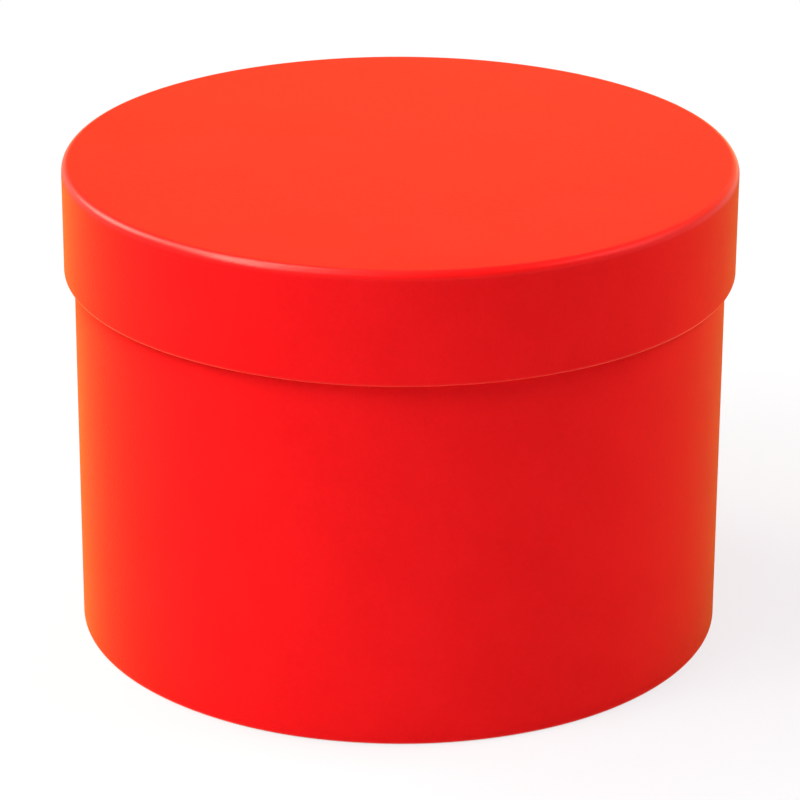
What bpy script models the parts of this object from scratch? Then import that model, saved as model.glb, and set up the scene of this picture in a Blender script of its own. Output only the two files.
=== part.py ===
"""A round box of paper-covered board with a lift-off lid, at its real size in metres.

The box stands on z = 0 with its centre line on Z. Boards and papers are separate pieces, as
they are when such a box is glued up. The lid's pieces hang from the empty lid_lift, which
stands on the centre line: raising it lifts the lid off.
"""

import math

import bmesh
import bpy

# The sizes that someone would order the box by
LID_DIAMETER = 0.200
OVERALL_HEIGHT = 0.1455
LID_DEPTH = 0.0336

# What it is made of
PAPER = 0.00025
WALL_BOARD = 0.0015
BASE_BOARD = 0.0020
TOP_BOARD = 0.0020

# The glue line between pieces that touch, and the air round the body inside the lid
GLUE_GAP = 0.0003
LID_CLEARANCE = 0.0004

# How much the boards' edges are rounded
TOP_BOARD_EDGE = 0.00165
WALL_BOARD_EDGE = 0.00025

# How far each paper is carried past an edge
COVER_LIP = 0.0013
LID_TURN_IN = 0.012
RIM_TURN_IN = 0.012
BASE_TURN_UNDER = 0.012
BASE_COVER_INSET = 0.003

# How round the turned pieces are
SEGMENTS = 72
LID_EDGE_STEPS = 4
FOLD_STEPS = 2
SHARP_ANGLE = math.radians(40)

# A board's edge is rounded by no more than these shares of its thickness
TOP_BOARD_EDGE_SHARE = 0.95
WALL_BOARD_EDGE_SHARE = 0.45
TOP_EDGE_RADIUS = min(TOP_BOARD_EDGE, TOP_BOARD_EDGE_SHARE * TOP_BOARD)
WALL_EDGE_RADIUS = min(WALL_BOARD_EDGE, WALL_BOARD_EDGE_SHARE * WALL_BOARD)

# The same edges on the outside of the paper that goes round them
LID_EDGE_RADIUS = TOP_EDGE_RADIUS + GLUE_GAP + PAPER
FOLD_RADIUS = WALL_EDGE_RADIUS + GLUE_GAP + PAPER

# Radii of the lid's wall, from its outside inwards
LID_RADIUS = LID_DIAMETER / 2
LID_BOARD_RADIUS = LID_RADIUS - PAPER - GLUE_GAP
LID_LINING_RADIUS = LID_BOARD_RADIUS - WALL_BOARD - GLUE_GAP
LID_INNER_RADIUS = LID_LINING_RADIUS - PAPER

# Radii of the body's wall, from its outside inwards
BODY_RADIUS = LID_INNER_RADIUS - LID_CLEARANCE
BODY_BOARD_RADIUS = BODY_RADIUS - PAPER - GLUE_GAP
TUBE_INNER_RADIUS = BODY_BOARD_RADIUS - WALL_BOARD
BODY_LINING_RADIUS = TUBE_INNER_RADIUS - GLUE_GAP
BODY_INNER_RADIUS = BODY_LINING_RADIUS - PAPER

# Heights in the base, from the ground up
FOOT_HEIGHT = PAPER + GLUE_GAP
BASE_BOARD_HEIGHT = FOOT_HEIGHT + PAPER + GLUE_GAP
FLOOR_LINING_HEIGHT = BASE_BOARD_HEIGHT + BASE_BOARD + GLUE_GAP

# Heights in the lid, from its top down to the rim that it sits on
TOP_BOARD_TOP = OVERALL_HEIGHT - PAPER - GLUE_GAP
TOP_BOARD_HEIGHT = TOP_BOARD_TOP - TOP_BOARD
CEILING_LINING_TOP = TOP_BOARD_HEIGHT - GLUE_GAP
CEILING_LINING_HEIGHT = CEILING_LINING_TOP - PAPER
BODY_RIM_HEIGHT = CEILING_LINING_HEIGHT - GLUE_GAP
LID_LOWER_EDGE = OVERALL_HEIGHT - LID_DEPTH
COVER_LOWER_EDGE = OVERALL_HEIGHT - LID_EDGE_RADIUS - COVER_LIP

# Colours as sRGB shares of full brightness, and how rough each material is
RED_PAPER_SHARES = (0.84, 0.09, 0.11)
GREYBOARD_SHARES = (0.56, 0.53, 0.48)
LINING_PAPER_SHARES = (0.94, 0.92, 0.87)
PAPER_ROUGHNESS_SHARE = 0.75
BOARD_ROUGHNESS_SHARE = 0.95


def clear_scene():
    for old in list(bpy.data.objects):
        bpy.data.objects.remove(old)


def linear(value):
    """The linear light of an sRGB value."""
    return value / 12.92 if value <= 0.04045 else ((value + 0.055) / 1.055) ** 2.4


def material(name, colour, roughness):
    made = bpy.data.materials.new(name)
    made.use_nodes = True
    shader = made.node_tree.nodes["Principled BSDF"]
    shader.inputs["Base Color"].default_value = (*map(linear, colour), 1)
    shader.inputs["Roughness"].default_value = roughness
    shader.inputs["Metallic"].default_value = 0
    return made


def finish(piece, height, finish_material, parent):
    """Gives a piece its material, its height above the ground and its place under an empty."""
    piece.data.materials.append(finish_material)
    piece.data.shade_smooth()
    piece.data.set_sharp_from_angle(angle=SHARP_ANGLE)
    piece.location.z = height
    if parent is not None:
        piece.parent = parent
        piece.location.z -= parent.location.z


def disc(name, radius, low, thickness, finish_material, collection, parent=None):
    """A flat round sheet or board whose lower face is at the height low."""
    mesh = bpy.data.meshes.new(name)
    shape = bmesh.new()
    bmesh.ops.create_cone(
        shape,
        cap_ends=True,
        segments=SEGMENTS,
        radius1=radius,
        radius2=radius,
        depth=thickness,
    )
    bmesh.ops.translate(shape, verts=shape.verts, vec=(0, 0, thickness / 2))
    shape.to_mesh(mesh)
    shape.free()
    piece = bpy.data.objects.new(name, mesh)
    collection.objects.link(piece)
    finish(piece, low, finish_material, parent)
    return piece


def turned(name, outline, finish_material, collection, parent=None):
    """A piece turned round the centre line from its outline, a list of (radius, height).

    The outline runs clockwise, down its outer side. One that begins and ends on the centre
    line is left open there, and any other is closed.
    """
    low = min(height for radius, height in outline)
    points = [(radius, 0, height - low) for radius, height in outline]
    edges = [(i, i + 1) for i in range(len(points) - 1)]
    if outline[0][0] > 0:
        edges.append((len(points) - 1, 0))
    section = bpy.data.meshes.new(name)
    section.from_pydata(points, edges, [])
    piece = bpy.data.objects.new(name, section)
    collection.objects.link(piece)

    turn = piece.modifiers.new("turn", "SCREW")
    turn.axis = "Z"
    turn.angle = math.tau
    turn.steps = SEGMENTS
    turn.render_steps = SEGMENTS
    turn.use_merge_vertices = True
    turn.merge_threshold = PAPER / 10
    shown = piece.evaluated_get(bpy.context.evaluated_depsgraph_get())
    whole = bpy.data.meshes.new_from_object(shown)
    piece.modifiers.clear()
    piece.data = whole
    bpy.data.meshes.remove(section)
    whole.name = name
    finish(piece, low, finish_material, parent)
    return piece


def lining(name, outer, low, high, finish_material, collection, parent=None):
    """A paper glued round the inside of a wall, between two heights."""
    inner = outer - PAPER
    outline = [(outer, high), (outer, low), (inner, low), (inner, high)]
    return turned(name, outline, finish_material, collection, parent)


def quarter_turn(centre, radius, first_angle, steps):
    """Points of a quarter turn, clockwise from an angle in degrees."""
    angles = [math.radians(first_angle - 90 * i / steps) for i in range(steps + 1)]
    return [
        (centre[0] + radius * math.cos(a), centre[1] + radius * math.sin(a))
        for a in angles
    ]


def inner_face(point, angle):
    """The point straight behind one on the outer face of the paper, which faces that angle."""
    facing = math.radians(angle)
    return (point[0] - PAPER * math.cos(facing), point[1] - PAPER * math.sin(facing))


def folded_paper(start, folds, end):
    """The outline of a sheet that runs from start to end round its folds.

    start, end and the folds are on its outer face and run clockwise. A fold is its centre,
    its radius, the angle in degrees where it begins and its number of steps.
    """
    outer = [start]
    inner = [inner_face(start, folds[0][2])]
    for centre, radius, first_angle, steps in folds:
        outer += quarter_turn(centre, radius, first_angle, steps)
        inner += quarter_turn(centre, radius - PAPER, first_angle, steps)
    outer.append(end)
    inner.append(inner_face(end, folds[-1][2] - 90))
    return outer + inner[::-1]


def wall_board_outline(outer, low, high):
    """The section of a wall of board, with its four edges rounded for the paper."""
    edge = WALL_EDGE_RADIUS
    inner = outer - WALL_BOARD
    corners = [
        ((outer - edge, high - edge), 90),
        ((outer - edge, low + edge), 0),
        ((inner + edge, low + edge), -90),
        ((inner + edge, high - edge), -180),
    ]
    outline = []
    for centre, first_angle in corners:
        outline += quarter_turn(centre, edge, first_angle, FOLD_STEPS)
    return outline


def body_wrap_outline():
    """Up the inside from the turned-in edge, over the rim, down the outside and under the foot."""
    fold = FOLD_RADIUS
    start = (BODY_INNER_RADIUS, BODY_RIM_HEIGHT - RIM_TURN_IN)
    end = (BODY_RADIUS - BASE_TURN_UNDER, FOOT_HEIGHT)
    folds = [
        ((BODY_INNER_RADIUS + fold, BODY_RIM_HEIGHT - fold), fold, 180, FOLD_STEPS),
        ((BODY_RADIUS - fold, BODY_RIM_HEIGHT - fold), fold, 90, FOLD_STEPS),
        ((BODY_RADIUS - fold, FOOT_HEIGHT + fold), fold, 0, FOLD_STEPS),
    ]
    return folded_paper(start, folds, end)


def lid_side_wrap_outline():
    """Down the outside from the top cover's edge, round the lower edge and up the inside."""
    fold = FOLD_RADIUS
    start = (LID_RADIUS, COVER_LOWER_EDGE - GLUE_GAP)
    end = (LID_INNER_RADIUS, LID_LOWER_EDGE + LID_TURN_IN)
    folds = [
        ((LID_RADIUS - fold, LID_LOWER_EDGE + fold), fold, 0, FOLD_STEPS),
        ((LID_INNER_RADIUS + fold, LID_LOWER_EDGE + fold), fold, -90, FOLD_STEPS),
    ]
    return folded_paper(start, folds, end)


def lid_top_cover_outline():
    """From the centre of the top out to the rounded edge and down over it."""
    edge = LID_EDGE_RADIUS
    centre = (LID_RADIUS - edge, OVERALL_HEIGHT - edge)
    return folded_paper(
        (0, OVERALL_HEIGHT),
        [(centre, edge, 90, LID_EDGE_STEPS)],
        (LID_RADIUS, COVER_LOWER_EDGE),
    )


def lid_top_board_outline():
    """A disc whose upper edge is rounded to lie under the cover's rounded edge."""
    edge = TOP_EDGE_RADIUS
    centre = (LID_BOARD_RADIUS - edge, TOP_BOARD_TOP - edge)
    return [
        (0, TOP_BOARD_TOP),
        *quarter_turn(centre, edge, 90, LID_EDGE_STEPS),
        (LID_BOARD_RADIUS, TOP_BOARD_HEIGHT),
        (0, TOP_BOARD_HEIGHT),
    ]


def build_body(collection, red_paper, greyboard, lining_paper):
    tube = wall_board_outline(
        BODY_BOARD_RADIUS, BASE_BOARD_HEIGHT, BODY_RIM_HEIGHT - PAPER - GLUE_GAP
    )
    turned("body_tube", tube, greyboard, collection)
    disc(
        "base_board",
        TUBE_INNER_RADIUS - GLUE_GAP,
        BASE_BOARD_HEIGHT,
        BASE_BOARD,
        greyboard,
        collection,
    )
    turned("body_wrap", body_wrap_outline(), red_paper, collection)
    disc(
        "base_cover_paper",
        BODY_RADIUS - BASE_COVER_INSET,
        0,
        PAPER,
        red_paper,
        collection,
    )
    lining(
        "body_wall_lining",
        BODY_LINING_RADIUS,
        FLOOR_LINING_HEIGHT,
        BODY_RIM_HEIGHT - RIM_TURN_IN - GLUE_GAP,
        lining_paper,
        collection,
    )
    disc(
        "body_floor_lining",
        BODY_INNER_RADIUS - GLUE_GAP,
        FLOOR_LINING_HEIGHT,
        PAPER,
        lining_paper,
        collection,
    )


def build_lid(collection, red_paper, greyboard, lining_paper):
    lift = bpy.data.objects.new("lid_lift", None)
    lift.location.z = BODY_RIM_HEIGHT
    collection.objects.link(lift)
    rim = wall_board_outline(
        LID_BOARD_RADIUS, LID_LOWER_EDGE + PAPER + GLUE_GAP, CEILING_LINING_TOP
    )
    turned("lid_rim_board", rim, greyboard, collection, lift)
    turned("lid_top_board", lid_top_board_outline(), greyboard, collection, lift)
    turned("lid_side_wrap", lid_side_wrap_outline(), red_paper, collection, lift)
    turned("lid_top_cover", lid_top_cover_outline(), red_paper, collection, lift)
    lining(
        "lid_wall_lining",
        LID_LINING_RADIUS,
        LID_LOWER_EDGE + LID_TURN_IN + GLUE_GAP,
        CEILING_LINING_TOP,
        lining_paper,
        collection,
        lift,
    )
    disc(
        "lid_ceiling_lining",
        LID_INNER_RADIUS - GLUE_GAP,
        CEILING_LINING_HEIGHT,
        PAPER,
        lining_paper,
        collection,
        lift,
    )


def main():
    clear_scene()
    collection = bpy.data.collections.new("round_box")
    bpy.context.scene.collection.children.link(collection)
    papers_and_board = (
        material("red_paper", RED_PAPER_SHARES, PAPER_ROUGHNESS_SHARE),
        material("greyboard", GREYBOARD_SHARES, BOARD_ROUGHNESS_SHARE),
        material("lining_paper", LINING_PAPER_SHARES, PAPER_ROUGHNESS_SHARE),
    )
    build_body(collection, *papers_and_board)
    build_lid(collection, *papers_and_board)


main()
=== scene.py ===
import itertools
import math

import bmesh
import bpy
from mathutils import Matrix, Vector


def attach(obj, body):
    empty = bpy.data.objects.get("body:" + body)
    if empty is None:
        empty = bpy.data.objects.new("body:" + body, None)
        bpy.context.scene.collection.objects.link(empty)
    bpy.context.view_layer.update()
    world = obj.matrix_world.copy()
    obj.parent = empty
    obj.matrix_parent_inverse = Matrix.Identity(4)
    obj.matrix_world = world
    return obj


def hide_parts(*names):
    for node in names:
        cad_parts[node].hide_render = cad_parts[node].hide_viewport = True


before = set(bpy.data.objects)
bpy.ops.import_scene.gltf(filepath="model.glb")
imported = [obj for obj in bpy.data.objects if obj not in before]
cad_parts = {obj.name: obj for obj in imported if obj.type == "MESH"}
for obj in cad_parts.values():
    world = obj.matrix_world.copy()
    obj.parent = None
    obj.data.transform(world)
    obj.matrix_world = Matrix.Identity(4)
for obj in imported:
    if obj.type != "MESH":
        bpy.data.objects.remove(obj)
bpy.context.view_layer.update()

# The dressed round box: board drum and lid, covered in red paper and lined in ivory.
# Every size is in metres. The back, +Y, is where the papers are lapped.

# The papers, their folds and their margins. A turned-in wrap stops short of the wall's lining.
PAPER = 0.00025
FOLD = 0.0008
RIM_ROUND = 0.0007
TURN_UNDER = 0.012
WRAP_SHORT = 0.0003
LID_EDGE_IN = 0.0025
LID_EDGE_DOWN = 0.0026
LID_EDGE_STEPS = 16
LID_LIP = 0.0020
LIP_RINGS = (0.35, 0.7, 1.0)

# A disc's softened edge, how far a lining's disc stays off its wall, and the rings of a disc
COVER_SOFT = 0.00006
LINING_SOFT = 0.0001
LINING_SLACK = 0.00003
DISC_HUB = 0.008
DISC_RINGS = 12

# A wall's lining where it climbs over the end of the turned-in wrap, and goes on over it
LINING_OVER_WRAP = 0.0030
LINING_CLIMB = 0.0006
LINING_CLIMBED = 0.0005
LINING_SET_BACK = 0.00012

# The lap of a sheet: its width, how far its end stands up, and the share of its width that stays level.
# Past that it fades, by steps of (distance past the width, share of the height), and ends in the sheet.
WRAP_LAP = 0.012
LINING_LAP = 0.010
WRAP_LAP_HEIGHT = 0.00015
LINING_LAP_HEIGHT = 0.00012
LAP_LEVEL = 0.3
LAP_FADE = [(0.0, 0.92), (0.0012, 0.5), (0.0028, 0.12)]
LAP_FADED = 0.0045
LAP_SUNK = -0.00006
LAP_SPACING = 0.0015

# Where each lap's cut edge stands, in degrees from +X, how far in from the outside a wrap's lap goes on,
# and how far above the floor the lining's starts
BODY_LAP_AT = 91
BODY_LINING_LAP_AT = 96
LID_LAP_AT = 88
BODY_LAP_IN = 0.002
LID_LAP_IN = 0.0026
LAP_OFF_FLOOR = 0.0002

# A hair keeps papers from lying in one plane. Two places that are this near are the same place.
HAIR = 0.00001
NEAR = 0.0001

# Creases round a gathered margin: full under the foot, and lower where the margin is turned in.
# Each has its share of the round, and falls away to nothing in 1 / CREASE_FALL of it.
CREASES = 64
GATHER_GROWS = 0.006
RIM_GATHER = 0.35
LID_GATHER = 0.4
CREASES_END = 0.001
CREASE_FALL = 2.2

# Steps round the box, the ring that stands for its centre line, and the least angle of a sharp edge
STEPS = 360
AXIS_RING = 0.05
CRISP = math.radians(40)

RED = "#e8151b"
RED_DEEP = "#e41319"
RED_LIGHT = "#ec171d"
# A brighter, purer red for the crowns of the rolled edges: painted light, not the paper's own colour
RED_EDGE_PAINTED_BRIGHT = "#f00a0c"
SHEEN = "#ff9c3c"
IVORY = "#f0ebdf"
IVORY_DEEP = "#ebe5d8"
GREYBOARD = "#8e867a"
GREYBOARD_DEEP = "#766e63"
PAPER_CORE = "#f3b9ae"
FLOOR = "#e8e8e8"
FLOOR_SHADE = "#7c7c81"
WHITE = "#ffffff"
WARM_WHITE = "#fffce7"

# The photograph's camera: degrees, metres, and its lens and sensor in millimetres
CAMERA_RISE = 22.027
CAMERA_ROLL = 0.243
CAMERA_DISTANCE = 1.1674
CAMERA_PIVOT = Vector((0, 0, 0.07275))
CAMERA_AIM = Vector((0.0002, 0, 0.0673))
CAMERA_LENS = 173.6
CAMERA_SENSOR = 36.0

# Where the lamps point, and half the width of the floor
LAMPS_AIM = Vector((0, 0, 0.08))
FLOOR_REACH = 3.0


def hue(code):
    """The linear colour of an sRGB hex value."""
    parts = [int(code[i:i + 2], 16) / 255 for i in (1, 3, 5)]
    return [p / 12.92 if p <= 0.04045 else ((p + 0.055) / 1.055) ** 2.4 for p in parts] + [1.0]


def put(tree, kind, inputs=None, stops=(), **settings):
    """Adds a node to a tree with its settings, fills or links its inputs, and sets a ramp's stops."""
    node = tree.nodes.new(kind)
    for name, value in settings.items():
        setattr(node, name, value)
    for key, value in (inputs or {}).items():
        if isinstance(value, bpy.types.NodeSocket):
            tree.links.new(value, node.inputs[key])
        else:
            node.inputs[key].default_value = value
    # A ramp starts with two stops
    for i, (position, code) in enumerate(stops):
        ramp = node.color_ramp.elements
        stop = ramp[i] if i < 2 else ramp.new(position)
        stop.position = position
        stop.color = hue(code)
    return node


def reach(node):
    """Inner radius, outer radius, lowest and highest point of a CAD node."""
    points = [v.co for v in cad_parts[node].data.vertices]
    radii = [math.hypot(p.x, p.y) for p in points]
    heights = [p.z for p in points]
    return min(radii), max(radii), min(heights), max(heights)


# Outlines, each a list of (radius, height)

def run(start, end, gap=0.006, guard=0.0005):
    """Points on a straight stretch, without its last one.

    One stands close to each end, so that folds stay narrow.
    """
    length = math.dist(start, end)
    shares = [0.0]
    if length > 3 * guard:
        count = max(1, math.ceil(length / gap))
        inner = [i / count for i in range(1, count)]
        near = guard / length
        shares += [near] + [t for t in inner if 2 * near < t < 1 - 2 * near] + [1 - near]
    return [tuple(a + (b - a) * t for a, b in zip(start, end)) for t in shares]


def folded(corners, steps=6):
    """A path through corners given as (radius, height, fold radius), with each fold rounded."""
    path = []
    last = corners[0][:2]
    for before, here, after in zip(corners, corners[1:], corners[2:]):
        corner = Vector(here[:2])
        to_before = (Vector(before[:2]) - corner).normalized()
        to_after = (Vector(after[:2]) - corner).normalized()
        half = to_before.angle(to_after) / 2
        back = here[2] / math.tan(half)
        first = corner + to_before * back
        second = corner + to_after * back
        middle = corner + (to_before + to_after).normalized() * here[2] / math.sin(half)
        path += run(last, tuple(first))
        for i in range(steps):
            spoke = (first - middle).slerp(second - middle, i / steps)
            path.append(tuple(middle + spoke.normalized() * here[2]))
        last = tuple(second)
    return path + run(last, corners[-1][:2]) + [tuple(corners[-1][:2])]


def outward(path):
    """The direction at each point of a path that faces away from the board, on its right."""
    faces = []
    for i in range(len(path)):
        a = path[max(0, i - 1)]
        b = path[min(len(path) - 1, i + 1)]
        along = Vector((b[0] - a[0], b[1] - a[1])).normalized()
        faces.append((along.y, -along.x))
    return faces


def backing(path, thickness=PAPER):
    """The same path on the glued side of the paper."""
    return [(p[0] - n[0] * thickness, p[1] - n[1] * thickness) for p, n in zip(path, outward(path))]


def bends(path, least=1.5, most=30, crown=1.5):
    """Up to 1 on the crown of each fold, where it is pressed most, and 0 where a path is straight or cut.

    A fold is a stretch where the path turns by more than least and less than most at each point, in degrees.
    """
    rounded = [False]
    for a, b, c in zip(path, path[1:], path[2:]):
        before = math.atan2(b[1] - a[1], b[0] - a[0])
        after = math.atan2(c[1] - b[1], c[0] - b[0])
        turn = abs(math.remainder(after - before, 2 * math.pi))
        rounded.append(math.radians(least) < turn < math.radians(most))
    rounded.append(False)
    marks = []
    for bent, points in itertools.groupby(rounded):
        count = len(list(points))
        marks += [math.sin(math.pi * (i + 0.5) / count) ** crown if bent else 0.0 for i in range(count)]
    return marks


def over_wrap(face, end, way, raised, first, softened):
    """The end of a wall's lining, over the turned-in wrap: the points of its face and those of its back.

    The CAD lining ends at this end, and the wrap lies above it where way is 1, or below it where way is -1.
    The face is raised by the wrap, after a first small rise, and its cut edge is softened.
    """
    tip = end + way * LINING_OVER_WRAP
    front = [
        (face - first, end - way * NEAR),
        (face - raised, end + way * LINING_CLIMBED),
        (face - raised, tip - way * softened),
        (face - raised + softened, tip),
    ]
    back = [
        (face - HAIR, tip),
        (face - HAIR, end + way * LINING_CLIMB),
        (face + LINING_SET_BACK, end),
    ]
    return front, back


# The sheets

def turned_paper_tree():
    """Turns a paper's outline round the box's centre line, uneven as board is, with creased margins."""
    tree = bpy.data.node_groups.new("turned_paper", "GeometryNodeTree")
    tree.interface.new_socket("Outline", in_out="INPUT", socket_type="NodeSocketGeometry")
    for name, kind in (
        ("Steps", "Int"),
        ("Ring Radius", "Float"),
        ("Unevenness", "Float"),
        ("Unevenness Size", "Float"),
        ("Creases", "Int"),
        ("Crease Height", "Float"),
        ("Seed", "Int"),
        ("Paper", "Material"),
    ):
        tree.interface.new_socket(name, in_out="INPUT", socket_type="NodeSocket" + kind)
    tree.interface.new_socket("Sheet", in_out="OUTPUT", socket_type="NodeSocketGeometry")
    given = put(tree, "NodeGroupInput").outputs

    # The outline goes once round a ring that stands for the centre line
    outline = put(tree, "GeometryNodeMeshToCurve", {"Mesh": given["Outline"]})
    ring = put(
        tree, "GeometryNodeCurvePrimitiveCircle",
        {"Resolution": given["Steps"], "Radius": given["Ring Radius"]},
    )
    upright = put(tree, "GeometryNodeSetCurveNormal", {"Curve": ring.outputs["Curve"]}, mode="Z_UP")
    sheet = put(
        tree, "GeometryNodeCurveToMesh",
        {"Curve": upright.outputs["Curve"], "Profile Curve": outline.outputs["Curve"]},
    )
    closed = put(tree, "GeometryNodeMergeByDistance", {"Geometry": sheet.outputs["Mesh"], "Distance": 1e-6})

    # Slow waves of the board, a few hundredths of a millimetre
    place = put(tree, "GeometryNodeInputPosition").outputs["Position"]
    waves_per_metre = put(
        tree, "ShaderNodeMath", {0: 1.0, 1: given["Unevenness Size"]}, operation="DIVIDE"
    ).outputs[0]
    waves = put(
        tree, "ShaderNodeTexNoise",
        {"Vector": place, "W": given["Seed"], "Scale": waves_per_metre, "Detail": 1.0},
        noise_dimensions="4D",
    )
    centred = put(
        tree, "ShaderNodeVectorMath", {0: waves.outputs["Color"], 1: (0.5, 0.5, 0.5)}, operation="SUBTRACT"
    )
    uneven = put(
        tree, "ShaderNodeVectorMath",
        {0: centred.outputs["Vector"], "Scale": given["Unevenness"]}, operation="SCALE",
    )

    # Creases where the margin is gathered: a sharp side, then a slow fall, each of its own height
    parts = put(tree, "ShaderNodeSeparateXYZ", {0: place}).outputs
    angle = put(tree, "ShaderNodeMath", {0: parts["Y"], 1: parts["X"]}, operation="ARCTAN2").outputs[0]
    turns = put(tree, "ShaderNodeMath", {0: angle, 1: 2 * math.pi}, operation="DIVIDE").outputs[0]
    count = put(tree, "ShaderNodeMath", {0: turns, 1: given["Creases"]}, operation="MULTIPLY").outputs[0]
    which = put(tree, "ShaderNodeMath", {0: count}, operation="FLOOR").outputs[0]
    along = put(tree, "ShaderNodeMath", {0: count}, operation="FRACT").outputs[0]
    keyed = put(tree, "ShaderNodeCombineXYZ", {"X": which, "Y": given["Seed"]}).outputs[0]
    chance = put(
        tree, "ShaderNodeTexWhiteNoise", {"Vector": keyed}, noise_dimensions="2D"
    ).outputs["Value"]
    fall = put(
        tree, "ShaderNodeMath", {0: along, 1: -CREASE_FALL, 2: 1.0}, operation="MULTIPLY_ADD"
    ).outputs[0]
    above = put(tree, "ShaderNodeMath", {0: fall, 1: 0.0}, operation="MAXIMUM").outputs[0]
    varied = put(tree, "ShaderNodeMath", {0: above, 1: chance}, operation="MULTIPLY").outputs[0]
    gather = put(
        tree, "GeometryNodeInputNamedAttribute", {"Name": "gather"}, data_type="FLOAT"
    ).outputs["Attribute"]
    gathered = put(tree, "ShaderNodeMath", {0: varied, 1: gather}, operation="MULTIPLY").outputs[0]
    lift = put(
        tree, "ShaderNodeMath", {0: gathered, 1: given["Crease Height"]}, operation="MULTIPLY"
    ).outputs[0]
    outside = put(tree, "GeometryNodeInputNormal").outputs["Normal"]
    raised = put(tree, "ShaderNodeVectorMath", {0: outside, "Scale": lift}, operation="SCALE")

    moved = put(
        tree, "ShaderNodeVectorMath",
        {0: uneven.outputs["Vector"], 1: raised.outputs["Vector"]}, operation="ADD",
    )
    shaped = put(
        tree, "GeometryNodeSetPosition",
        {"Geometry": closed.outputs["Geometry"], "Offset": moved.outputs["Vector"]},
    )
    smooth = put(tree, "GeometryNodeSetShadeSmooth", {"Geometry": shaped.outputs["Geometry"]})
    real = put(tree, "GeometryNodeRealizeInstances", {"Geometry": smooth.outputs["Geometry"]})
    dressed = put(
        tree, "GeometryNodeSetMaterial", {"Geometry": real.outputs["Geometry"], "Material": given["Paper"]}
    )
    put(tree, "NodeGroupOutput", {"Sheet": dressed.outputs["Geometry"]})
    return tree


def plain_mesh(obj):
    """Makes what an object's modifiers give its own mesh, and takes them off."""
    graph = bpy.context.evaluated_depsgraph_get()
    mesh = bpy.data.meshes.new_from_object(obj.evaluated_get(graph))
    obj.modifiers.clear()
    obj.data = mesh
    mesh.name = obj.name


def crisp(obj):
    """Faces point out, and cut edges stay sharp."""
    mesh = bmesh.new()
    mesh.from_mesh(obj.data)
    bmesh.ops.recalc_face_normals(mesh, faces=mesh.faces)
    for edge in mesh.edges:
        edge.smooth = not edge.is_manifold or edge.calc_face_angle() < CRISP
    for face in mesh.faces:
        face.smooth = True
    mesh.to_mesh(obj.data)
    mesh.free()


def sheet_of(name, outline, paper, closed=True, gather=(), unevenness=0.00024, wave=0.06, crease=0.0,
             seed=1):
    """One sheet of paper, made from its outline with the turned_paper tree.

    The waves of the board have this unevenness and length, and a gathered margin has creases of this height.
    """
    edges = [(i, i + 1) for i in range(len(outline) - 1)]
    if closed:
        edges.append((len(outline) - 1, 0))
    mesh = bpy.data.meshes.new(name)
    # Curve to Mesh lays an outline's x outwards from the ring, and its y downwards
    mesh.from_pydata([(r - AXIS_RING, -z, 0) for r, z in outline], edges, [])
    for kind, values in (("gather", list(gather)), ("fold", bends(outline))):
        mark = mesh.attributes.new(kind, "FLOAT", "POINT")
        mark.data.foreach_set("value", values + [0.0] * (len(outline) - len(values)))
    obj = bpy.data.objects.new(name, mesh)
    bpy.context.scene.collection.objects.link(obj)
    turn = obj.modifiers.new("turned_paper", "NODES")
    turn.node_group = TURNED_PAPER
    sizes = {
        "Steps": STEPS,
        "Ring Radius": AXIS_RING,
        "Unevenness": unevenness,
        "Unevenness Size": wave,
        "Creases": CREASES,
        "Crease Height": crease,
        "Seed": seed,
        "Paper": paper,
    }
    for item in TURNED_PAPER.interface.items_tree:
        if item.item_type == "SOCKET" and item.in_out == "INPUT" and item.name in sizes:
            turn[item.identifier] = sizes[item.name]
    plain_mesh(obj)
    crisp(obj)
    return obj


def disc_of(name, edge, face, back, paper, soft, soft_back=False, creased=(0.0, 0.0), **looks):
    """A disc of paper, from the middle of its shown face out to its softened edge, and in again behind.

    The creases of a margin behind it show through between the two radii of creased.
    """
    into = math.copysign(soft, back - face)
    shown = [(0.0, face)] + run((DISC_HUB, face), (edge - soft, face)) + [(edge - soft, face)]
    rim = [(edge, face + into)]
    rim += [(edge, back - into), (edge - soft, back)] if soft_back else [(edge, back)]
    behind = [(edge * (1 - i / DISC_RINGS), back) for i in range(1, DISC_RINGS + 1)]
    gather = [1.0 if creased[0] < r < creased[1] else 0.0 for r, z in shown]
    return sheet_of(name, shown + rim + behind, paper, closed=False, gather=gather, **looks)


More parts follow.
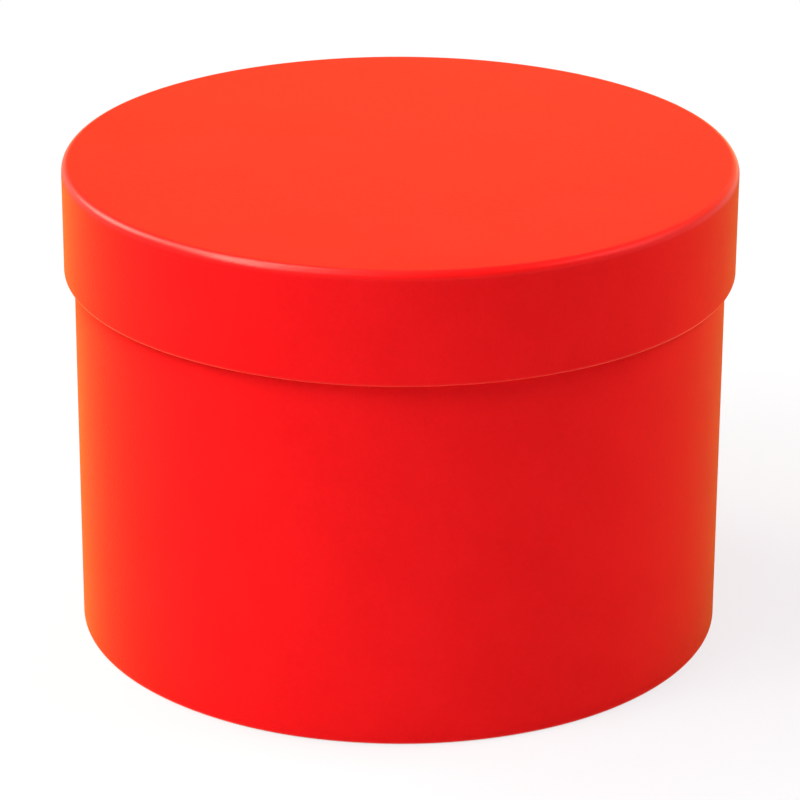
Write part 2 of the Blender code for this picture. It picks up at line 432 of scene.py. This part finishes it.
def lap(obj, path, degrees, width=WRAP_LAP, height=WRAP_LAP_HEIGHT, core=None):
    """Adds the strip where a sheet's end lies over its beginning: one cut edge, and one that fades."""
    radius = max(r for r, z in path)
    fade = [(width + past, height * share) for past, share in LAP_FADE]
    section = [(0.0, height), (width * LAP_LEVEL, height)] + fade + [(width + LAP_FADED, LAP_SUNK)]
    top = []
    for (a, high), (b, low) in zip(section, section[1:]):
        count = max(1, math.ceil((b - a) / LAP_SPACING))
        top += [(a + (b - a) * i / count, high + (low - high) * i / count) for i in range(count)]
    # Each row is a closed ring: over the strip from its cut edge, and back under it along the same round
    ring = top + section[-1:] + [(along, LAP_SUNK) for along, high in top[::-1]]
    last = len(ring) - 1

    mesh = bmesh.new()
    mesh.from_mesh(obj.data)
    rows = []
    for (r, z), (out, up) in zip(path, outward(path)):
        row = []
        for along, high in ring:
            a = math.radians(degrees) + along / radius
            far = r + out * high
            row.append(mesh.verts.new((far * math.cos(a), far * math.sin(a), z + up * high)))
        rows.append(row)
    added = []
    for lower, upper in zip(rows, rows[1:]):
        for i in range(last + 1):
            j = (i + 1) % (last + 1)
            added.append(mesh.faces.new((lower[i], lower[j], upper[j], upper[i])))
            # The cut edge shows the paper's core, which is the second material
            if i == last and core is not None:
                added[-1].material_index = 1
    for row in (rows[0], rows[-1]):
        for i in range(len(top) - 1):
            added.append(mesh.faces.new((row[i], row[i + 1], row[last - i - 1], row[last - i])))
        added.append(mesh.faces.new(row[len(top) - 1:len(top) + 2]))
    bmesh.ops.recalc_face_normals(mesh, faces=added)
    for face in added:
        face.smooth = True
        for edge in face.edges:
            edge.smooth = edge.calc_face_angle(0.0) < CRISP
    mesh.to_mesh(obj.data)
    mesh.free()
    if core is not None:
        obj.data.materials.append(core)


# Finishes

def begin(name):
    """An empty material, its tree, and the place on the object that its patterns start from."""
    material = bpy.data.materials.new(name)
    material.use_nodes = True
    tree = material.node_tree
    tree.nodes.clear()
    return material, tree, put(tree, "ShaderNodeTexCoord").outputs["Object"]


def dyed_red_paper():
    """Dyed, calendered wrapping paper: even and deep red, with a fine tooth and a warm bloom at a slant."""
    material, tree, place = begin("dyed_red_paper")
    # Clouding of the sheet, about 20 mm across
    cloud = put(tree, "ShaderNodeTexNoise", {"Vector": place, "Scale": 1 / 0.020, "Detail": 3.0})
    # Clumps of fibre, about 1.4 mm
    fibre = put(
        tree, "ShaderNodeTexNoise", {"Vector": place, "Scale": 1 / 0.0014, "Detail": 4.0, "Roughness": 0.65}
    )
    # The tooth is 0.1 mm in the real paper, and is drawn at 0.5 mm so that it shows
    tooth = put(tree, "ShaderNodeTexNoise", {"Vector": place, "Scale": 1 / 0.0005, "Detail": 2.0})
    blend = put(
        tree, "ShaderNodeMix", {"Factor": 0.45, "A": cloud.outputs["Fac"], "B": fibre.outputs["Fac"]}
    ).outputs[0]
    tone = put(
        tree, "ShaderNodeValToRGB", {"Fac": blend}, stops=[(0.30, RED_DEEP), (0.70, RED_LIGHT), (0.5, RED)]
    )
    rough = put(
        tree, "ShaderNodeMapRange", {"Value": fibre.outputs["Fac"], "To Min": 0.62, "To Max": 0.82}
    )
    height = put(
        tree, "ShaderNodeMix", {"Factor": 0.55, "A": fibre.outputs["Fac"], "B": tooth.outputs["Fac"]}
    ).outputs[0]
    bump = put(tree, "ShaderNodeBump", {"Height": height, "Strength": 0.55, "Distance": 0.0003})
    # The rolled edges are pressed smooth, so they shine more than the flat. Their crowns also get a
    # brighter, purer red, which is painted light: it makes the rounded edges read as brightly lit, clean
    # red.
    fold = put(tree, "ShaderNodeAttribute", attribute_name="fold").outputs["Fac"]
    painted_bright_edge = put(
        tree, "ShaderNodeMix", {"Factor": fold, 6: tone.outputs["Color"], 7: hue(RED_EDGE_PAINTED_BRIGHT)},
        data_type="RGBA",
    )
    shader = put(tree, "ShaderNodeBsdfPrincipled", {
        "Base Color": painted_bright_edge.outputs[2],
        "Roughness": rough.outputs["Result"],
        "Normal": bump.outputs["Normal"],
        "Specular IOR Level": 0.02,
        "Sheen Weight": 0.95,
        "Sheen Roughness": 0.33,
        "Sheen Tint": hue(SHEEN),
        "Coat Weight": fold,
        "Coat Roughness": 0.36,
    })
    put(tree, "ShaderNodeOutputMaterial", {"Surface": shader.outputs[0]})
    return material


def ivory_lining_paper():
    """Uncoated offset paper: warm white and quite flat, with faint fibres."""
    material, tree, place = begin("ivory_lining_paper")
    # Fibre clumps, about 2 mm, and a tooth of 0.1 mm that is drawn at 0.6 mm so that it shows
    fibre = put(tree, "ShaderNodeTexNoise", {"Vector": place, "Scale": 1 / 0.002, "Detail": 5.0})
    tooth = put(tree, "ShaderNodeTexNoise", {"Vector": place, "Scale": 1 / 0.0006, "Detail": 2.0})
    tone = put(
        tree, "ShaderNodeValToRGB", {"Fac": fibre.outputs["Fac"]}, stops=[(0.3, IVORY_DEEP), (0.65, IVORY)]
    )
    rough = put(
        tree, "ShaderNodeMapRange", {"Value": fibre.outputs["Fac"], "To Min": 0.7, "To Max": 0.9}
    )
    bump = put(
        tree, "ShaderNodeBump", {"Height": tooth.outputs["Fac"], "Strength": 0.3, "Distance": 0.0001}
    )
    shader = put(tree, "ShaderNodeBsdfPrincipled", {
        "Base Color": tone.outputs["Color"],
        "Roughness": rough.outputs["Result"],
        "Normal": bump.outputs["Normal"],
        "Specular IOR Level": 0.2,
    })
    put(tree, "ShaderNodeOutputMaterial", {"Surface": shader.outputs[0]})
    return material


def recycled_greyboard():
    """Recycled board: grey-brown, with darker flecks of old print and pale fibres."""
    material, tree, place = begin("recycled_greyboard")
    # Clumps of pulp, about 3 mm, and a fleck about every 2 mm
    pulp = put(tree, "ShaderNodeTexNoise", {"Vector": place, "Scale": 1 / 0.003, "Detail": 6.0})
    flecks = put(tree, "ShaderNodeTexVoronoi", {"Vector": place, "Scale": 1 / 0.0022, "Randomness": 1.0})
    tone = put(
        tree, "ShaderNodeValToRGB", {"Fac": pulp.outputs["Fac"]},
        stops=[(0.35, GREYBOARD_DEEP), (0.65, GREYBOARD)],
    )
    fleck = put(
        tree, "ShaderNodeMapRange",
        {"Value": flecks.outputs["Distance"], "From Max": 0.25, "To Min": 0.72},
    )
    speckled = put(
        tree, "ShaderNodeMix", {"Factor": 1.0, 6: tone.outputs["Color"], 7: fleck.outputs["Result"]},
        data_type="RGBA", blend_type="MULTIPLY",
    )
    bump = put(
        tree, "ShaderNodeBump", {"Height": pulp.outputs["Fac"], "Strength": 0.4, "Distance": 0.0002}
    )
    shader = put(tree, "ShaderNodeBsdfPrincipled", {
        "Base Color": speckled.outputs[2],
        "Roughness": 0.88,
        "Normal": bump.outputs["Normal"],
        "Specular IOR Level": 0.2,
    })
    put(tree, "ShaderNodeOutputMaterial", {"Surface": shader.outputs[0]})
    return material


def cut_paper_edge():
    """The cut edge of the dyed paper, where its pale core shows pink."""
    material, tree, place = begin("cut_paper_edge")
    # Cut fibres, about 0.8 mm
    fibre = put(tree, "ShaderNodeTexNoise", {"Vector": place, "Scale": 1 / 0.0008, "Detail": 3.0})
    tone = put(
        tree, "ShaderNodeValToRGB", {"Fac": fibre.outputs["Fac"]}, stops=[(0.35, RED), (0.6, PAPER_CORE)]
    )
    shader = put(tree, "ShaderNodeBsdfPrincipled", {
        "Base Color": tone.outputs["Color"],
        "Roughness": 0.85,
        "Specular IOR Level": 0.1,
    })
    put(tree, "ShaderNodeOutputMaterial", {"Surface": shader.outputs[0]})
    return material


# The pieces

def dress(obj, body, node):
    """Hides the CAD node that a sheet stands for, and fixes the sheet to what it moves with."""
    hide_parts(node)
    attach(obj, body)


def body_papers(red, ivory, core):
    """The drum's papers: the wrap, the cover under the foot, and the linings of its wall and floor."""
    _, wall, _, rim = reach("body_wrap")
    _, cover_edge, cover_low, cover_high = reach("base_cover_paper")
    lined, lining_back, lining_low, lining_high = reach("body_wall_lining")
    _, _, floor_low, floor_high = reach("body_floor_lining")

    # The wrap turns over the rim and down inside, and under the foot, right on top of the foot's cover
    foot = cover_high + HAIR
    path = folded([
        (wall - TURN_UNDER, foot, 0),
        (wall, foot, FOLD),
        (wall, rim, RIM_ROUND),
        (lined, rim, RIM_ROUND),
        (lined, lining_high + WRAP_SHORT, 0),
    ])
    gather = []
    for r, z in path:
        under = z < foot + NEAR and r < wall - FOLD
        inside = r < lined + NEAR and z < rim - RIM_ROUND
        gather.append(min(1.0, (wall - r) / GATHER_GROWS) if under else RIM_GATHER if inside else 0.0)
    wrap = sheet_of(
        "body_wrap_sheet", path + backing(path)[::-1], red, gather=gather, crease=0.00012, seed=3,
    )
    outer = [p for p in path if p[0] > wall - BODY_LAP_IN or p[1] > rim - NEAR]
    lap(wrap, outer, BODY_LAP_AT, core=core)
    dress(wrap, "box", "body_wrap")

    # The cover is a disc, and the creases of the margin above it show through faintly
    cover = disc_of(
        "base_cover_sheet", cover_edge, cover_low, cover_high, red, COVER_SOFT, soft_back=True,
        creased=(wall - TURN_UNDER, cover_edge - CREASES_END), unevenness=0.00006, crease=0.00006, seed=3,
    )
    dress(cover, "box", "base_cover_paper")

    # The wall lining laps over the end of the turned-in wrap
    front, back = over_wrap(lined, lining_high, way=1, raised=0.00015, first=0.00004, softened=0.00005)
    climb = lining_high - LINING_CLIMB
    face = run((lined, lining_low), (lined, climb)) + [(lined, climb)] + front
    behind = back + run((lining_back, climb), (lining_back, lining_low)) + [(lining_back, lining_low)]
    lining = sheet_of("body_wall_lining_sheet", face + behind, ivory, unevenness=0.00030, wave=0.045, seed=7)
    above_floor = [p for p in face[::-1] if p[1] > lining_low + LAP_OFF_FLOOR]
    lap(lining, above_floor, BODY_LINING_LAP_AT, width=LINING_LAP, height=LINING_LAP_HEIGHT)
    dress(lining, "box", "body_wall_lining")

    # The floor's disc reaches the wall
    disc = disc_of(
        "body_floor_lining_sheet", lined - LINING_SLACK, floor_high, floor_low, ivory, LINING_SOFT,
        unevenness=0.00030, wave=0.05, seed=11,
    )
    dress(disc, "box", "body_floor_lining")


def lid_papers(red, ivory, core):
    """The lid's papers: the wrap of its side, the cover of its top, and its linings."""
    _, side, low, side_high = reach("lid_side_wrap")
    _, _, _, top = reach("lid_top_cover")
    lined, lining_back, lining_low, lining_high = reach("lid_wall_lining")
    _, _, ceiling_low, ceiling_high = reach("lid_ceiling_lining")

    # The side wrap turns in at the lower edge, and ends under the cover of the top
    path = folded([
        (lined, lining_low - WRAP_SHORT, 0),
        (lined, low, FOLD),
        (side, low, FOLD),
        (side, side_high, 0),
    ])
    gather = [LID_GATHER if r < lined + NEAR and z > low + FOLD else 0.0 for r, z in path]
    wrap = sheet_of(
        "lid_side_wrap_sheet", path + backing(path)[::-1], red, gather=gather, crease=0.00008, seed=5,
    )
    outer = [p for p in path if p[0] > side - LID_LAP_IN]
    lap(wrap, outer, LID_LAP_AT, core=core)
    dress(wrap, "lid", "lid_side_wrap")

    # The top's cover is drawn down over the rounded edge, and its thin lip lies on the side wrap
    lip = side + 2 * HAIR
    edge = []
    for i in range(LID_EDGE_STEPS + 1):
        a = math.radians(90 * i / LID_EDGE_STEPS)
        edge.append((lip - LID_EDGE_IN * (1 - math.sin(a)), top - LID_EDGE_DOWN * (1 - math.cos(a))))
    outer = [(0.0, top)] + run((DISC_HUB, top), edge[0]) + edge
    outer += [(lip, top - LID_EDGE_DOWN - LID_LIP * share) for share in LIP_RINGS]
    inner = backing(outer, -PAPER)
    inner[0] = (0.0, top - PAPER)
    cover = sheet_of(
        "lid_top_cover_sheet", outer + inner[::-1], red, closed=False, unevenness=0.00030, wave=0.05, seed=9,
    )
    dress(cover, "lid", "lid_top_cover")

    # The side's lining laps over the end of the turned-in wrap
    front, back = over_wrap(lined, lining_low, way=-1, raised=0.00012, first=0.00003, softened=0.00004)
    climb = lining_low + LINING_CLIMB
    face = front[::-1] + run((lined, climb), (lined, lining_high)) + [(lined, lining_high)]
    behind = [(lining_back, lining_high), (lining_back, climb)] + back[::-1]
    lining = sheet_of("lid_wall_lining_sheet", face + behind, ivory, unevenness=0.00015, seed=13)
    dress(lining, "lid", "lid_wall_lining")

    # The ceiling's disc reaches the side
    disc = disc_of(
        "lid_ceiling_lining_sheet", lined - LINING_SLACK, ceiling_low, ceiling_high, ivory, LINING_SOFT,
        unevenness=0.00030, wave=0.05, seed=15,
    )
    dress(disc, "lid", "lid_ceiling_lining")


# Floor, lights and camera

def seen_rays(tree):
    """1 for rays that the camera, a gloss or a glass sends, which see the pale background."""
    rays = put(tree, "ShaderNodeLightPath").outputs
    first = put(
        tree, "ShaderNodeMath", {0: rays["Is Camera Ray"], 1: rays["Is Glossy Ray"]}, operation="MAXIMUM"
    ).outputs[0]
    return put(
        tree, "ShaderNodeMath", {0: first, 1: rays["Is Transmission Ray"]}, operation="MAXIMUM"
    ).outputs[0]


def studio_floor():
    """A pale sweep of card. It keeps the object's shadow near it, and is white further away."""
    material, tree, place = begin("pale_card_floor")
    card = put(tree, "ShaderNodeBsdfDiffuse", {"Color": hue(FLOOR)})
    # The part that takes the shadow leans to blue, so that it stays white under the warm lamps
    faint = put(tree, "ShaderNodeBsdfDiffuse", {"Color": hue(FLOOR_SHADE)})
    white = put(tree, "ShaderNodeEmission", {"Strength": 0.72})
    full = put(tree, "ShaderNodeEmission", {"Strength": 1.0})
    near = put(tree, "ShaderNodeAddShader", {0: faint.outputs[0], 1: white.outputs[0]})
    # The shadow is whole up to 0.25 m from the centre, and gone at 0.55 m
    away = put(tree, "ShaderNodeVectorMath", {0: place}, operation="LENGTH").outputs["Value"]
    fade = put(
        tree, "ShaderNodeMapRange", {"Value": away, "From Min": 0.25, "From Max": 0.55},
        interpolation_type="SMOOTHSTEP",
    )
    seen = put(
        tree, "ShaderNodeMixShader", {0: fade.outputs["Result"], 1: near.outputs[0], 2: full.outputs[0]}
    )
    whole = put(
        tree, "ShaderNodeMixShader", {0: seen_rays(tree), 1: card.outputs[0], 2: seen.outputs[0]}
    )
    put(tree, "ShaderNodeOutputMaterial", {"Surface": whole.outputs[0]})
    mesh = bmesh.new()
    bmesh.ops.create_grid(mesh, x_segments=4, y_segments=4, size=FLOOR_REACH)
    data = bpy.data.meshes.new("studio_floor")
    mesh.to_mesh(data)
    mesh.free()
    data.materials.append(material)
    floor = bpy.data.objects.new("studio_floor", data)
    bpy.context.scene.collection.objects.link(floor)


def studio_world(strength):
    """A white background that is dark overhead in glosses, and an even fill from all round."""
    world = bpy.data.worlds.new("studio")
    bpy.context.scene.world = world
    world.use_nodes = True
    tree = world.node_tree
    tree.nodes.clear()
    fill = put(tree, "ShaderNodeBackground", {"Color": hue(WHITE), "Strength": strength})
    heading = put(tree, "ShaderNodeTexCoord").outputs["Generated"]
    height = put(tree, "ShaderNodeSeparateXYZ", {0: heading}).outputs["Z"]
    # Glosses see white at the horizon, and next to no light from 13 degrees above it
    backdrop = put(
        tree, "ShaderNodeMapRange",
        {"Value": height, "From Min": 0.03, "From Max": 0.22, "To Min": 1.0, "To Max": 0.04},
    ).outputs["Result"]
    rays = put(tree, "ShaderNodeLightPath").outputs
    shown = put(
        tree, "ShaderNodeMath", {0: rays["Is Camera Ray"], 1: backdrop}, operation="MAXIMUM"
    ).outputs[0]
    white = put(tree, "ShaderNodeBackground", {"Color": hue(WHITE), "Strength": shown})
    both = put(tree, "ShaderNodeMixShader", {0: seen_rays(tree), 1: fill.outputs[0], 2: white.outputs[0]})
    put(tree, "ShaderNodeOutputWorld", {"Surface": both.outputs[0]})


def softbox(name, azimuth, elevation, distance, size, power, length=None, tilt=0.0, shines=True,
            colour=WHITE):
    """A soft light that faces the box. A fill, which doesn't shine, leaves no highlight.

    Azimuth is from -Y, the front, towards +X. Angles are in degrees and power is in watts.
    """
    light = bpy.data.lights.new(name, "AREA")
    light.shape = "RECTANGLE"
    light.size = size
    light.size_y = length or size
    light.energy = power
    light.color = hue(colour)[:3]
    lamp = bpy.data.objects.new(name, light)
    bpy.context.scene.collection.objects.link(lamp)
    lamp.visible_glossy = shines
    a = math.radians(azimuth)
    e = math.radians(elevation)
    away = Vector((math.sin(a) * math.cos(e), -math.cos(a) * math.cos(e), math.sin(e)))
    place = LAMPS_AIM + distance * away
    turn = (LAMPS_AIM - place).to_track_quat("-Z", "Y").to_matrix().to_4x4()
    lamp.matrix_world = Matrix.Translation(place) @ turn @ Matrix.Rotation(math.radians(tilt), 4, "Z")


def photo_camera():
    """The camera at the photograph's viewing angle."""
    data = bpy.data.cameras.new("camera")
    data.lens = CAMERA_LENS
    data.sensor_width = CAMERA_SENSOR
    camera = bpy.data.objects.new("camera", data)
    bpy.context.scene.collection.objects.link(camera)
    rise = math.radians(CAMERA_RISE)
    eye = Vector((0, -math.cos(rise), math.sin(rise))) * CAMERA_DISTANCE + CAMERA_PIVOT
    turn = (CAMERA_AIM - eye).to_track_quat("-Z", "Y").to_matrix().to_4x4()
    roll = Matrix.Rotation(math.radians(CAMERA_ROLL), 4, "Z")
    camera.matrix_world = Matrix.Translation(eye) @ turn @ roll
    bpy.context.scene.camera = camera


photo_camera()
TURNED_PAPER = turned_paper_tree()

red_paper = dyed_red_paper()
lining_paper = ivory_lining_paper()
greyboard = recycled_greyboard()
paper_edge = cut_paper_edge()

body_papers(red_paper, lining_paper, paper_edge)
lid_papers(red_paper, lining_paper, paper_edge)

for node in ("body_tube", "base_board", "lid_rim_board", "lid_top_board"):
    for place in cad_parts[node].material_slots:
        place.material = greyboard

studio_floor()
studio_world(strength=0.07)
# Each lamp: azimuth, elevation, distance, size and power
softbox("left_strip", -78, 55, 1.1, 0.1, 13.0, length=1.7, tilt=45, colour=WARM_WHITE)
softbox("left_rear_softbox", -118, 34, 1.1, 0.5, 5.5, colour=WARM_WHITE)
softbox("left_front_softbox", -52, 48, 1.3, 0.6, 7.0, shines=False)
softbox("front_softbox", -30, 50, 1.3, 0.6, 2.0, shines=False)
softbox("right_softbox", 92, 40, 1.3, 0.9, 11.0, shines=False)
softbox("back_softbox", 165, 14, 1.3, 0.8, 5.5, shines=False)

bpy.context.scene.view_settings.view_transform = "Standard"
